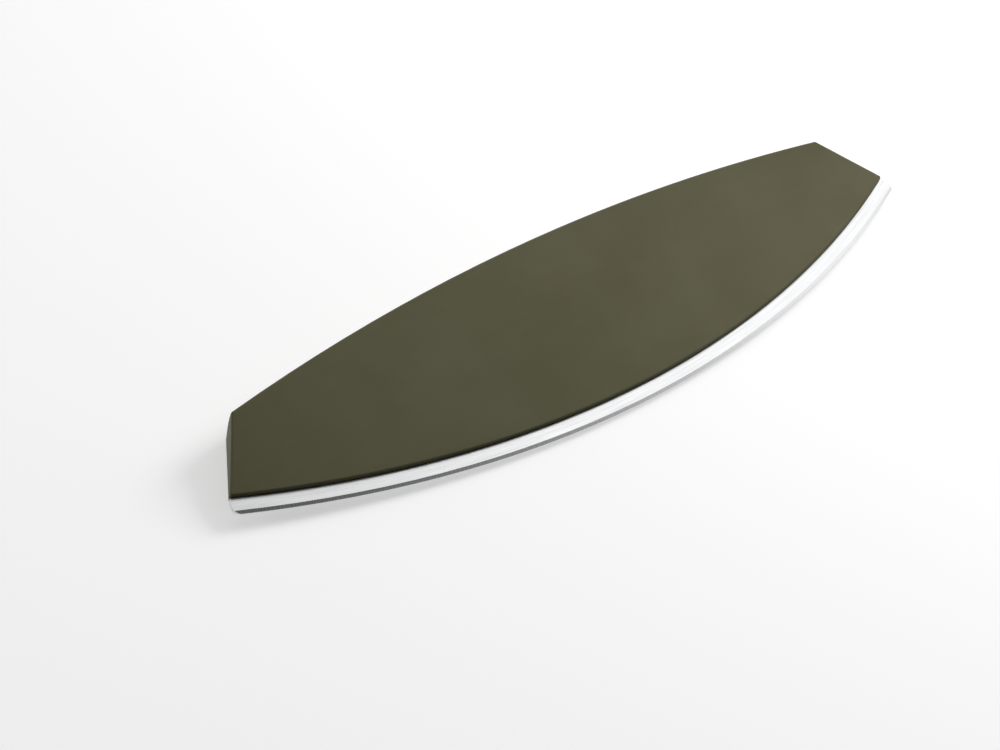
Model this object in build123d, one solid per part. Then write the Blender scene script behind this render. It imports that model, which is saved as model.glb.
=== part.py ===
from build123d import *
import os
from math import asin, atan2, degrees, hypot, sqrt

# Rocking pizza knife, lying on its rear side as on a table.
# It is drawn flat first: X along the knife, Y towards the spine, Z out of the front,
# with the blade's mid-plane on Z 0 and the handle's two lower corners on Y 0.

# Handle outline on the mid-plane
handle_length = 370.0      # between the lower corners
end_lean = 19.6            # each upper corner, in from the lower one
end_rise = 28.4            # upper corners above the lower corners
spine_rise = 15.2          # middle of the spine above the upper corners
belly_drop = 37.4          # middle of the lower edge below the lower corners

# Handle section: a wedge, thick at the spine and thin where it grips the steel
spine_width = 18.0
spine_crown = 2.0          # rounding of the spine for the palms, above its edges
lip_width = 5.0
edge_rounding = 0.9
wall = 2.4
lip_height = 16.0          # solid lips that clamp the tang
lip_relief = 0.4           # chamfer inside each lip, beside the steel
rib_thickness = 1.6
tongue_width = 0.9
tongue_height = 1.2
tongue_clearance = 0.08
seam_margin = 0.75         # outside of the handle to the tongue
seam_depth = 0.25          # fine groove outside, where the two shells meet
seam_gap = 0.3

# Blade: one sheet, a bare band below the handle and a slightly thinner tang inside it
sheet = 1.5
bare_band = 7.2            # from the handle's lower edge to the cutting edge
grind_width = 1.3
edge_land = 0.2            # blunt land left at the cutting edge
blade_corner = 3.5
tang_height = 32.0
tang_relief = 0.1          # taken off each side of the tang, so the band is left as a shoulder
tang_inset = 6.0           # handle's outside to the tang's ends
shoulder_clearance = 0.1
slot_clearance = 0.05

# Pins that lock the tang and both shells together
pin_count = 7
pin_diameter = 4.0
pin_length = 7.0
pin_lift = 24.0            # above the handle's lower edge
pin_end_margin = 35.0      # from the lower corners to the last pins
pin_chamfer = 0.3
boss_diameter = 9.0
press_clearance = 0.02
tang_hole_clearance = 0.1
pin_end_clearance = 0.2

overrun = 5.0              # how far cutting shapes run past what they cut

# Sizes worked out from the outline
lower_half = handle_length / 2
upper_half = lower_half - end_lean
belly_radius = (lower_half**2 + belly_drop**2) / (2 * belly_drop)
spine_radius = (upper_half**2 + spine_rise**2) / (2 * spine_rise)
belly_centre = belly_radius - belly_drop
spine_centre = end_rise + spine_rise - spine_radius
end_length = hypot(lower_half - upper_half, end_rise)
end_along = ((upper_half - lower_half) / end_length, end_rise / end_length)
middle_height = belly_drop + end_rise + spine_rise
tang_level = sheet / 2 - tang_relief
seat_level = tang_level + slot_clearance


def end_line_at(inset, centre_y, radius, upward):
    """Right-hand point where the end line, moved inwards, crosses a circle about (0, centre_y)."""
    start_x = lower_half - inset * end_along[1]
    start_y = inset * end_along[0] - centre_y
    along = start_x * end_along[0] + start_y * end_along[1]
    reach = sqrt(along**2 - start_x**2 - start_y**2 + radius**2)
    step = -along + upward * reach
    return start_x + step * end_along[0], start_y + step * end_along[1] + centre_y


def belly_arc(lift, inset):
    """Arc that follows the handle's lower edge, lifted towards the spine, from end to end."""
    x, y = end_line_at(inset, belly_centre, belly_radius - lift, -1)
    return ThreePointArc((-x, y), (0, lift - belly_drop), (x, y))


def spine_arc(inset, crown=0):
    """Arc that follows the spine's edges, or its crown, moved inwards, from end to end."""
    x, y = end_line_at(inset, spine_centre, spine_radius + crown - inset, 1)
    return ThreePointArc((-x, y), (0, end_rise + spine_rise + crown - inset), (x, y))


def closed_plan(lower, upper):
    """Flat face between two arcs drawn left to right and the straight ends that join them."""
    left = Line(lower @ 0, upper @ 0)
    right = Line(lower @ 1, upper @ 1)
    return make_face([lower.edge(), right.edge(), upper.edge(), left.edge()])


def crown_ring(inset, thickness):
    """Ring with a bulging outside that lies along the spine's arc."""
    foot = end_rise + spine_rise - inset
    bulge = ThreePointArc((0, foot, -thickness / 2), (0, foot + spine_crown, 0), (0, foot, thickness / 2))
    section = make_face([bulge.edge(), Line(bulge @ 1, bulge @ 0).edge()])
    return revolve(section, Axis((0, spine_centre, 0), (0, 0, 1)))


def wedge(lift, inset, lower_thickness, upper_thickness):
    """Solid with straight-ruled sides from a thin lower arc to a thick, crowned spine."""
    lower = belly_arc(lift, inset)
    upper = spine_arc(inset)
    low = {side: Pos(0, 0, side * lower_thickness / 2) * lower.edge() for side in (-1, 1)}
    top = {side: Pos(0, 0, side * upper_thickness / 2) * upper.edge() for side in (-1, 1)}
    faces = [Face.make_surface_from_curves(low[side], top[side]) for side in (-1, 1)]
    faces.append(Face.make_surface_from_curves(low[-1], low[1]))
    faces.append(Face.make_surface_from_curves(top[-1], top[1]))
    for end in (0, 1):
        loop = [low[-1] @ end, low[1] @ end, top[1] @ end, top[-1] @ end]
        faces.append(make_face(Polyline(*loop, close=True).edges()))
    between_ends = closed_plan(lower, spine_arc(inset, spine_crown + overrun))
    crown = crown_ring(inset, upper_thickness) & extrude(between_ends, upper_thickness, both=True)
    return Solid(Shell(faces)) + crown


def on_belly(radius, bearing):
    """Point at a bearing from straight down, about the centre of the lower edge's arc."""
    turned = Rot(0, 0, bearing) * Pos(0, -radius, 0)
    return turned.position.X, turned.position.Y + belly_centre


def pin_places():
    """Places of the pins, evenly spaced on an arc along the tang, with their bearing."""
    radius = belly_radius - pin_lift
    last = degrees(asin((lower_half - pin_end_margin) / radius))
    bearings = [last * (2 * number / (pin_count - 1) - 1) for number in range(pin_count)]
    return [on_belly(radius, bearing) for bearing in bearings], bearings


places, bearings = pin_places()


def handle_body():
    body = wedge(0, 0, lip_width, spine_width)
    return fillet(body.edges(), edge_rounding)


def cavity():
    """Hollow above the lips, one wall inside the handle's skin."""
    slope = (spine_width - lip_width) / middle_height
    lip_cavity = lip_width + slope * lip_height - 2 * wall
    return wedge(lip_height, wall, lip_cavity, spine_width - 2 * wall)


def tang_plan(foot, clearance):
    """Outline of the tang, starting a foot below the handle's lower edge."""
    inset = tang_inset - clearance
    strip = closed_plan(belly_arc(-foot, inset), belly_arc(tang_height + clearance, inset))
    inside = closed_plan(belly_arc(-2 * foot, inset), spine_arc(inset))
    return strip & inside


def band_arc(drop):
    """Arc below the handle's lower edge that stops square to it, at the handle's corners."""
    x, y = on_belly(belly_radius + drop, degrees(asin(lower_half / belly_radius)))
    return ThreePointArc((-x, y), (0, -belly_drop - drop), (x, y))


def bare_band_plan():
    """Outline of the steel below the handle."""
    band = closed_plan(band_arc(bare_band), band_arc(shoulder_clearance))
    lower_corners = band.vertices().sort_by(Axis.Y)[:2]
    return fillet(lower_corners, blade_corner)


def grind(side):
    """Ring that grinds one side of the sheet down to the land at the cutting edge."""
    edge = belly_radius + bare_band
    fall = (sheet - edge_land) / (2 * grind_width)
    profile = Polyline(
        (0, belly_centre - edge + grind_width, side * sheet / 2),
        (0, belly_centre - edge + grind_width, side * sheet),
        (0, belly_centre - edge - overrun, side * sheet),
        (0, belly_centre - edge - overrun, side * (edge_land / 2 - fall * overrun)),
        close=True,
    )
    return revolve(make_face(profile.edges()), Axis((0, belly_centre, 0), (0, 0, 1)))


def pin_bores(radius, length):
    return [Pos(x, y, 0) * Cylinder(radius, length) for x, y in places]


def blade():
    band = extrude(bare_band_plan(), sheet / 2, both=True)
    plate = band + extrude(tang_plan(bare_band / 2, 0), tang_level, both=True)
    holes = pin_bores(pin_diameter / 2 + tang_hole_clearance, sheet + overrun)
    return plate - [grind(-1), grind(1)] - holes


def pin():
    rod = Cylinder(pin_diameter / 2, pin_length)
    return chamfer(rod.edges(), pin_chamfer)


def ribs():
    """Cross ribs halfway between the pins, from the lips to the spine."""
    bar = Box(rib_thickness, middle_height + 2 * overrun, spine_width + 2 * overrun)
    middles = [(first + second) / 2 for first, second in zip(bearings, bearings[1:])]
    reach = belly_radius - middle_height / 2
    return [Pos(0, belly_centre, 0) * Rot(0, 0, bearing) * Pos(0, -reach, 0) * bar for bearing in middles]


def chambers():
    """The handle's hollow without the ribs and the bosses round the pins."""
    return cavity() - ribs() - pin_bores(boss_diameter / 2, spine_width + 2 * overrun)


def tongue(clearance):
    """Band along the ends and the spine that lines the two shells up."""
    outer = seam_margin - clearance
    inner = seam_margin + tongue_width + clearance
    around = closed_plan(belly_arc(lip_height - clearance, outer), spine_arc(outer, spine_crown))
    middle = closed_plan(belly_arc(-overrun, inner), spine_arc(inner, spine_crown))
    return extrude(around - middle, tongue_height + clearance)


def lip_chamfer(side):
    """Ring that takes the inner corner off one lip, beside the steel."""
    profile = Polyline(
        (0, lip_relief - belly_drop, side * sheet / 2),
        (0, -belly_drop - overrun, side * sheet / 2),
        (0, -belly_drop - overrun, side * (sheet / 2 + lip_relief + overrun)),
        close=True,
    )
    return revolve(make_face(profile.edges()), Axis((0, belly_centre, 0), (0, 0, 1)))


def seam_groove():
    """Fine groove round the ends and the spine that marks the joint between the shells."""
    beyond = closed_plan(belly_arc(-overrun, -overrun), spine_arc(-overrun, spine_crown))
    within = closed_plan(belly_arc(-2 * overrun, seam_depth), spine_arc(seam_depth, spine_crown))
    within = fillet(within.vertices().sort_by(Axis.Y)[-2:], edge_rounding - seam_depth)
    return extrude(beyond - within, seam_gap / 2, both=True)


def half_shells():
    """Front and rear halves, hollow, slotted for the tang and bored for the pins."""
    slot = extrude(tang_plan(overrun, slot_clearance), seat_level, both=True)
    holes = pin_bores(pin_diameter / 2 + press_clearance, pin_length + 2 * pin_end_clearance)
    trims = [seam_groove(), lip_chamfer(-1), lip_chamfer(1)]
    body = handle_body() - chambers() - slot - holes - trims
    front = split(body, Plane.XY, keep=Keep.TOP) - tongue(tongue_clearance)
    rear = split(body, Plane.XY, keep=Keep.BOTTOM) + tongue(0)
    return front, rear


def laid_down(pieces):
    """Tilt the knife onto its rear side and bring it to the middle of the table."""
    tilt = degrees(atan2((spine_width - lip_width) / 2, end_rise + belly_drop))
    tilted = {name: Rot(tilt, 0, 0) * piece for name, piece in pieces.items()}
    boxes = [piece.bounding_box() for piece in tilted.values()]
    back = max(box.max.Y for box in boxes)
    front = min(box.min.Y for box in boxes)
    bottom = min(box.min.Z for box in boxes)
    return {name: Pos(0, -(back + front) / 2, -bottom) * piece for name, piece in tilted.items()}


front_shell, rear_shell = half_shells()
pieces = {"blade": blade(), "front_shell": front_shell, "rear_shell": rear_shell}
for number, (x, y) in enumerate(places, 1):
    pieces[f"tang_pin_{number}"] = Pos(x, y, 0) * pin()

os.makedirs("parts", exist_ok=True)
for name, piece in laid_down(pieces).items():
    export_step(piece, f"parts/{name}.step")
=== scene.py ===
import math

import bpy
import numpy as np
from mathutils import Matrix, Vector

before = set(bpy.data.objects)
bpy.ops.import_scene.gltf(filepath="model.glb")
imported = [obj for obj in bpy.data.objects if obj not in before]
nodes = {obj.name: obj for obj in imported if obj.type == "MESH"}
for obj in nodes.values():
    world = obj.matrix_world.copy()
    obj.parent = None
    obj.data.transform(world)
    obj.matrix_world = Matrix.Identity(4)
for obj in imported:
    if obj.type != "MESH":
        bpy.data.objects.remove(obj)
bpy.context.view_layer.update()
print("frame loaded:", len(nodes), "nodes")

# how the knife lies in the frame, for patterns that follow its edge
knife = {
    "tilt": 0.09846,                         # radians; the handle is a wedge, so its mid-plane leans
    "edgeCentre": (0.0, 0.43618, 0.04929),   # centre of the cutting edge's arc
    "edgeRadius": 0.48345,
    "grindWidth": 0.0013,
}


# a shorthand for adding nodes: each socket gets a link from an output, or a plain value

def nodeAdder(tree):
    def add(kind, sockets=None, **values):
        node = tree.nodes.new(kind)
        for key, value in values.items():
            setattr(node, key, value)
        for socket, source in (sockets or {}).items():
            if hasattr(source, "is_output"):
                tree.links.new(source, node.inputs[socket])
            else:
                node.inputs[socket].default_value = source
        return node

    return add


def newMaterial(name):
    material = bpy.data.materials.new(name)
    material.use_nodes = True
    tree = material.node_tree
    return material, tree, tree.nodes["Principled BSDF"], nodeAdder(tree)


def noise(add, place, scale, detail, coarseness=0.5):
    sockets = {"Vector": place, "Scale": scale, "Detail": detail, "Roughness": coarseness}
    return add("ShaderNodeTexNoise", sockets).outputs["Fac"]


# carries a value from one span onto another

def remap(add, value, span, onto=(0.0, 1.0), **values):
    sockets = {"Value": value, "From Min": span[0], "From Max": span[1], "To Min": onto[0], "To Max": onto[1]}
    return add("ShaderNodeMapRange", sockets, **values).outputs[0]


def calculate(add, operation, first, second):
    return add("ShaderNodeMath", {0: first, 1: second}, operation=operation).outputs[0]


def blend(add, share, first, second):
    return add("ShaderNodeMix", {0: share, 2: first, 3: second}).outputs[0]


def blendColour(add, share, first, second):
    return add("ShaderNodeMix", {0: share, 6: first, 7: second}, data_type="RGBA").outputs[2]


def relief(add, height, strength, depth):
    return add("ShaderNodeBump", {"Height": height, "Strength": strength, "Distance": depth}).outputs["Normal"]


# coordinates in the knife's own mid-plane, measured from the centre of the cutting edge's arc

def arcCoordinates(add):
    place = add("ShaderNodeTexCoord").outputs["Object"]
    sockets = {"Vector": place, "Location": knife["edgeCentre"], "Rotation": (knife["tilt"], 0, 0)}
    return add("ShaderNodeMapping", sockets, vector_type="TEXTURE").outputs["Vector"]


handleLook = {
    "colour": (0.0896, 0.0842, 0.0393, 1),
    "shade": (0.0832, 0.0780, 0.0363, 1),
    "roughness": (0.64, 0.52),     # where the tone is darkest and lightest
    "specular": 0.32,
    "grain": 3600.0,               # spark-eroded mould grain, cells per metre
    "grainDetail": 4.0, "grainCoarseness": 0.62,
    "grainDepth": 0.00009, "grainStrength": 0.6,
    "drift": 30.0,                 # slow change of tone across the moulding
    "driftDetail": 3.0,
    "flow": 240.0,                 # faint flow marks, longer along the knife
    "flowDetail": 2.0, "flowRun": 0.3,
    "flowShare": 0.2, "grainShare": 0.35,
    "toneSpan": (0.38, 0.62), "roughnessSpan": (0.35, 0.65),
}


def handlePlastic():
    material, tree, shader, add = newMaterial("oliveMouldedPlastic")
    look = handleLook
    place = add("ShaderNodeTexCoord").outputs["Object"]
    alongKnife = add("ShaderNodeMapping", {"Vector": place, "Scale": (look["flowRun"], 1.0, 1.0)}).outputs[0]
    drift = noise(add, place, look["drift"], look["driftDetail"])
    flow = noise(add, alongKnife, look["flow"], look["flowDetail"])
    grain = noise(add, place, look["grain"], look["grainDetail"], look["grainCoarseness"])

    # tone: mostly drift, a little flow, a trace of grain
    mottle = blend(add, look["grainShare"], blend(add, look["flowShare"], drift, flow), grain)
    tone = remap(add, mottle, look["toneSpan"])
    tree.links.new(blendColour(add, tone, look["shade"], look["colour"]), shader.inputs["Base Color"])
    tree.links.new(remap(add, mottle, look["roughnessSpan"], look["roughness"]), shader.inputs["Roughness"])
    tree.links.new(relief(add, grain, look["grainStrength"], look["grainDepth"]), shader.inputs["Normal"])
    shader.inputs["Specular IOR Level"].default_value = look["specular"]
    return material


bladeLook = {
    "colour": (0.77, 0.775, 0.78, 1),
    "streakColour": (0.66, 0.665, 0.67, 1),
    "roughness": 0.29,
    "groundRoughness": 0.25,
    "streaks": 2400.0,             # brushing lines across the band, per metre
    "streakRun": 14.0,             # how quickly a line changes along the band, per radian
    "streakDetail": 6.0, "streakCoarseness": 0.68,
    "groundLines": 4200.0,         # grinding marks along the bevel, per radian
    "groundRun": 160.0,            # how quickly a mark changes across the bevel, per metre
    "groundDetail": 3.0, "groundCoarseness": 0.55,
    "groundSpan": (0.3, 0.7), "groundLevels": (0.40, 0.56),
    "grindLine": 0.00005,          # half the width over which brushing turns to grinding
    "toneSpan": (0.32, 0.60),
    "scatterSpan": (0.3, 0.7), "scatter": (0.09, -0.05),
    "streakDepth": 0.000010, "streakStrength": 0.6,
}


def bladeSteel():
    material, tree, shader, add = newMaterial("brushedBladeSteel")
    look = bladeLook
    parts = add("ShaderNodeSeparateXYZ", {"Vector": arcCoordinates(add)}).outputs
    inPlane = add("ShaderNodeCombineXYZ", {"X": parts["X"], "Y": parts["Y"]}).outputs[0]
    radius = add("ShaderNodeVectorMath", {0: inPlane}, operation="LENGTH").outputs["Value"]
    bearing = calculate(add, "ARCTAN2", parts["X"], parts["Y"])
    bevelStart = knife["edgeRadius"] - knife["grindWidth"]
    ground = remap(add, radius, (bevelStart - look["grindLine"], bevelStart + look["grindLine"]))

    # brushing follows the edge
    brushPlace = add("ShaderNodeCombineXYZ", {"X": calculate(add, "MULTIPLY", radius, look["streaks"]),
                                              "Y": calculate(add, "MULTIPLY", bearing, look["streakRun"])})
    brush = noise(add, brushPlace.outputs[0], 1.0, look["streakDetail"], look["streakCoarseness"])

    # grinding crosses it
    markPlace = add("ShaderNodeCombineXYZ", {"X": calculate(add, "MULTIPLY", bearing, look["groundLines"]),
                                             "Y": calculate(add, "MULTIPLY", radius, look["groundRun"])})
    marks = noise(add, markPlace.outputs[0], 1.0, look["groundDetail"], look["groundCoarseness"])
    fineMarks = remap(add, marks, look["groundSpan"], look["groundLevels"])

    lines = blend(add, ground, brush, fineMarks)
    tone = remap(add, lines, look["toneSpan"])
    tree.links.new(blendColour(add, tone, look["streakColour"], look["colour"]), shader.inputs["Base Color"])
    finish = blend(add, ground, look["roughness"], look["groundRoughness"])
    scatter = remap(add, lines, look["scatterSpan"], look["scatter"])
    tree.links.new(calculate(add, "ADD", finish, scatter), shader.inputs["Roughness"])
    tree.links.new(relief(add, lines, look["streakStrength"], look["streakDepth"]), shader.inputs["Normal"])
    shader.inputs["Metallic"].default_value = 1.0
    return material


pinLook = {
    "colour": (0.60, 0.60, 0.61, 1),
    "roughness": (0.26, 0.40),
    "drawLines": 9000.0,           # drawing lines round the pin, per metre
    "drawRun": 300.0,              # how quickly a line changes along the pin, per metre
    "drawDetail": 3.0, "drawSpan": (0.3, 0.7),
    "drawDepth": 0.000004, "drawStrength": 0.4,
}


def pinSteel():
    material, tree, shader, add = newMaterial("drawnPinSteel")
    look = pinLook
    stretch = (look["drawLines"], look["drawLines"], look["drawRun"])
    stretched = add("ShaderNodeVectorMath", {0: arcCoordinates(add), 1: stretch}, operation="MULTIPLY")
    lines = noise(add, stretched.outputs[0], 1.0, look["drawDetail"])
    tree.links.new(remap(add, lines, look["drawSpan"], look["roughness"]), shader.inputs["Roughness"])
    tree.links.new(relief(add, lines, look["drawStrength"], look["drawDepth"]), shader.inputs["Normal"])
    shader.inputs["Base Color"].default_value = look["colour"]
    shader.inputs["Metallic"].default_value = 1.0
    return material


def wear(nodeName, material):
    for slot in nodes[nodeName].material_slots:
        slot.material = material


olive = handlePlastic()
for shellName in ("front_shell", "rear_shell"):
    wear(shellName, olive)
wear("blade", bladeSteel())
pins = pinSteel()
for nodeName in sorted(nodes):
    if nodeName.startswith("tang_pin_"):
        wear(nodeName, pins)
print("finishes on", len(nodes), "nodes")


# pale floor that keeps the knife's shadow; the lens sees it lifted towards white, the knife sees it as grey

floorLook = {
    "half": 6.0,
    "lens": (0.60, 0.60, 0.60, 1), "lift": 0.46,
    "farLens": (0.12, 0.12, 0.12, 1), "farLift": 0.88,
    "farSpan": (0.45, 1.5),        # between these distances the floor turns to an even white
    "bounce": (0.36, 0.36, 0.36, 1),
    "roughness": 0.9,
    "drop": 0.00003,
}


# one square face, a hair below the knife

def paleFloor():
    look = floorLook
    half, level = look["half"], -look["drop"]
    mesh = bpy.data.meshes.new("floor")
    corners = np.array([[-half, -half, level], [half, -half, level], [half, half, level], [-half, half, level]])
    mesh.from_pydata(corners.tolist(), [], [(0, 1, 2, 3)])
    floor = bpy.data.objects.new("floor", mesh)
    bpy.context.scene.collection.objects.link(floor)
    material, tree, shader, add = newMaterial("paleFloor")
    rays = add("ShaderNodeLightPath").outputs
    mirrored = calculate(add, "MAXIMUM", rays["Is Glossy Ray"], rays["Is Transmission Ray"])
    seen = calculate(add, "MAXIMUM", rays["Is Camera Ray"], mirrored)
    away = add("ShaderNodeVectorMath", {0: add("ShaderNodeTexCoord").outputs["Object"]}, operation="LENGTH")
    far = remap(add, away.outputs["Value"], look["farSpan"], interpolation_type="SMOOTHSTEP")
    seenPaint = blendColour(add, far, look["lens"], look["farLens"])
    tree.links.new(blendColour(add, seen, look["bounce"], seenPaint), shader.inputs["Base Color"])
    seenLift = blend(add, far, look["lift"], look["farLift"])
    tree.links.new(calculate(add, "MULTIPLY", seen, seenLift), shader.inputs["Emission Strength"])
    shader.inputs["Emission Color"].default_value = (1, 1, 1, 1)
    shader.inputs["Roughness"].default_value = look["roughness"]
    shader.inputs["Specular IOR Level"].default_value = 0.0
    mesh.materials.append(material)


paleFloor()

lamps = {
    "rightSoftbox": {"at": (0.657, 0.2235, 0.62), "size": (1.42, 0.66), "power": 2.08},
    "rightFill": {"at": (0.85, 0.05, 0.55), "size": (0.5, 0.5), "power": 8.6},
    "backSheet": {"at": (-0.15, 1.1, 1.5), "size": (1.8, 1.0), "power": 3.5},
    "leftSheet": {"at": (-0.9, 0.55, 0.26), "size": (0.7, 0.4), "power": 2.6},
}


def areaLamp(name, look):
    light = bpy.data.lights.new(name, "AREA")
    light.shape = "RECTANGLE"
    light.size, light.size_y = look["size"]
    light.energy = look["power"]
    lamp = bpy.data.objects.new(name, light)
    lamp.location = look["at"]
    lamp.rotation_euler = (-Vector(look["at"])).to_track_quat("-Z", "Y").to_euler()
    lamp.visible_glossy = name == "rightSoftbox"    # the only one that the steel mirrors
    bpy.context.scene.collection.objects.link(lamp)


for lampName, look in lamps.items():
    areaLamp(lampName, look)

# white studio behind the knife, dim above the lens's side, which the ground bevel mirrors
worldLook = {
    "towards": (0.50, 0.86, 0.0),
    "dim": 0.03,
    "wallSpan": (-0.40, 0.14),     # from dim to white, measured along towards
    "light": 0.36, "mirrored": 0.71,
    "skirting": 0.55,              # low down the steel mirrors light all round
    "skirtingSpan": (0.64, 0.34),  # from none to full, by the height of the direction
}


def studioWorld():
    world = bpy.data.worlds.new("studio")
    bpy.context.scene.world = world
    world.use_nodes = True
    tree = world.node_tree
    add = nodeAdder(tree)
    look = worldLook
    direction = add("ShaderNodeTexCoord").outputs["Generated"]
    facing = add("ShaderNodeVectorMath", {0: direction, 1: look["towards"]}, operation="DOT_PRODUCT")
    wall = remap(add, facing.outputs["Value"], look["wallSpan"], (look["dim"], 1.0),
                 interpolation_type="SMOOTHSTEP")
    rays = add("ShaderNodeLightPath").outputs
    height = add("ShaderNodeSeparateXYZ", {"Vector": direction}).outputs["Z"]
    skirting = remap(add, height, look["skirtingSpan"], (0.0, look["skirting"]), interpolation_type="SMOOTHSTEP")
    mirroredSkirting = calculate(add, "MULTIPLY", skirting, rays["Is Glossy Ray"])
    walls = calculate(add, "MAXIMUM", wall, mirroredSkirting)
    level = remap(add, rays["Is Glossy Ray"], (0.0, 1.0), (look["light"], look["mirrored"]))
    lit = calculate(add, "MULTIPLY", walls, level)
    straight = calculate(add, "MAXIMUM", rays["Is Camera Ray"], rays["Is Transmission Ray"])
    tree.links.new(blend(add, straight, lit, 1.0), tree.nodes["Background"].inputs["Strength"])
    tree.nodes["Background"].inputs["Color"].default_value = (1, 1, 1, 1)


studioWorld()
print("stage and", len(lamps), "lamps set")

cameraLook = {
    "azimuth": -49.152, "elevation": 43.471, "roll": -12.205,
    "distance": 0.84802, "aim": (-0.04982, -0.00008, 0.0),
    "lens": 75.014, "sensorWidth": 36.0, "clipStart": 0.01,
}


# the camera looks at the aim from an azimuth and an elevation, then rolls about its line of sight

def photoCamera():
    data = bpy.data.cameras.new("camera")
    data.lens = cameraLook["lens"]
    data.sensor_width = cameraLook["sensorWidth"]
    data.clip_start = cameraLook["clipStart"]
    turn, rise, roll = (math.radians(cameraLook[key]) for key in ("azimuth", "elevation", "roll"))
    back = Vector((math.sin(turn) * math.cos(rise), -math.cos(turn) * math.cos(rise), math.sin(rise)))
    level = (-back).cross(Vector((0, 0, 1))).normalized()
    below = (-back).cross(level)
    right = level * math.cos(roll) + below * math.sin(roll)
    up = back.cross(right)
    place = Vector(cameraLook["aim"]) + back * cameraLook["distance"]
    camera = bpy.data.objects.new("camera", data)
    camera.matrix_world = Matrix.Translation(place) @ Matrix((right, up, back)).transposed().to_4x4()
    bpy.context.scene.collection.objects.link(camera)
    bpy.context.scene.camera = camera


photoCamera()
bpy.context.scene.view_settings.view_transform = "Standard"
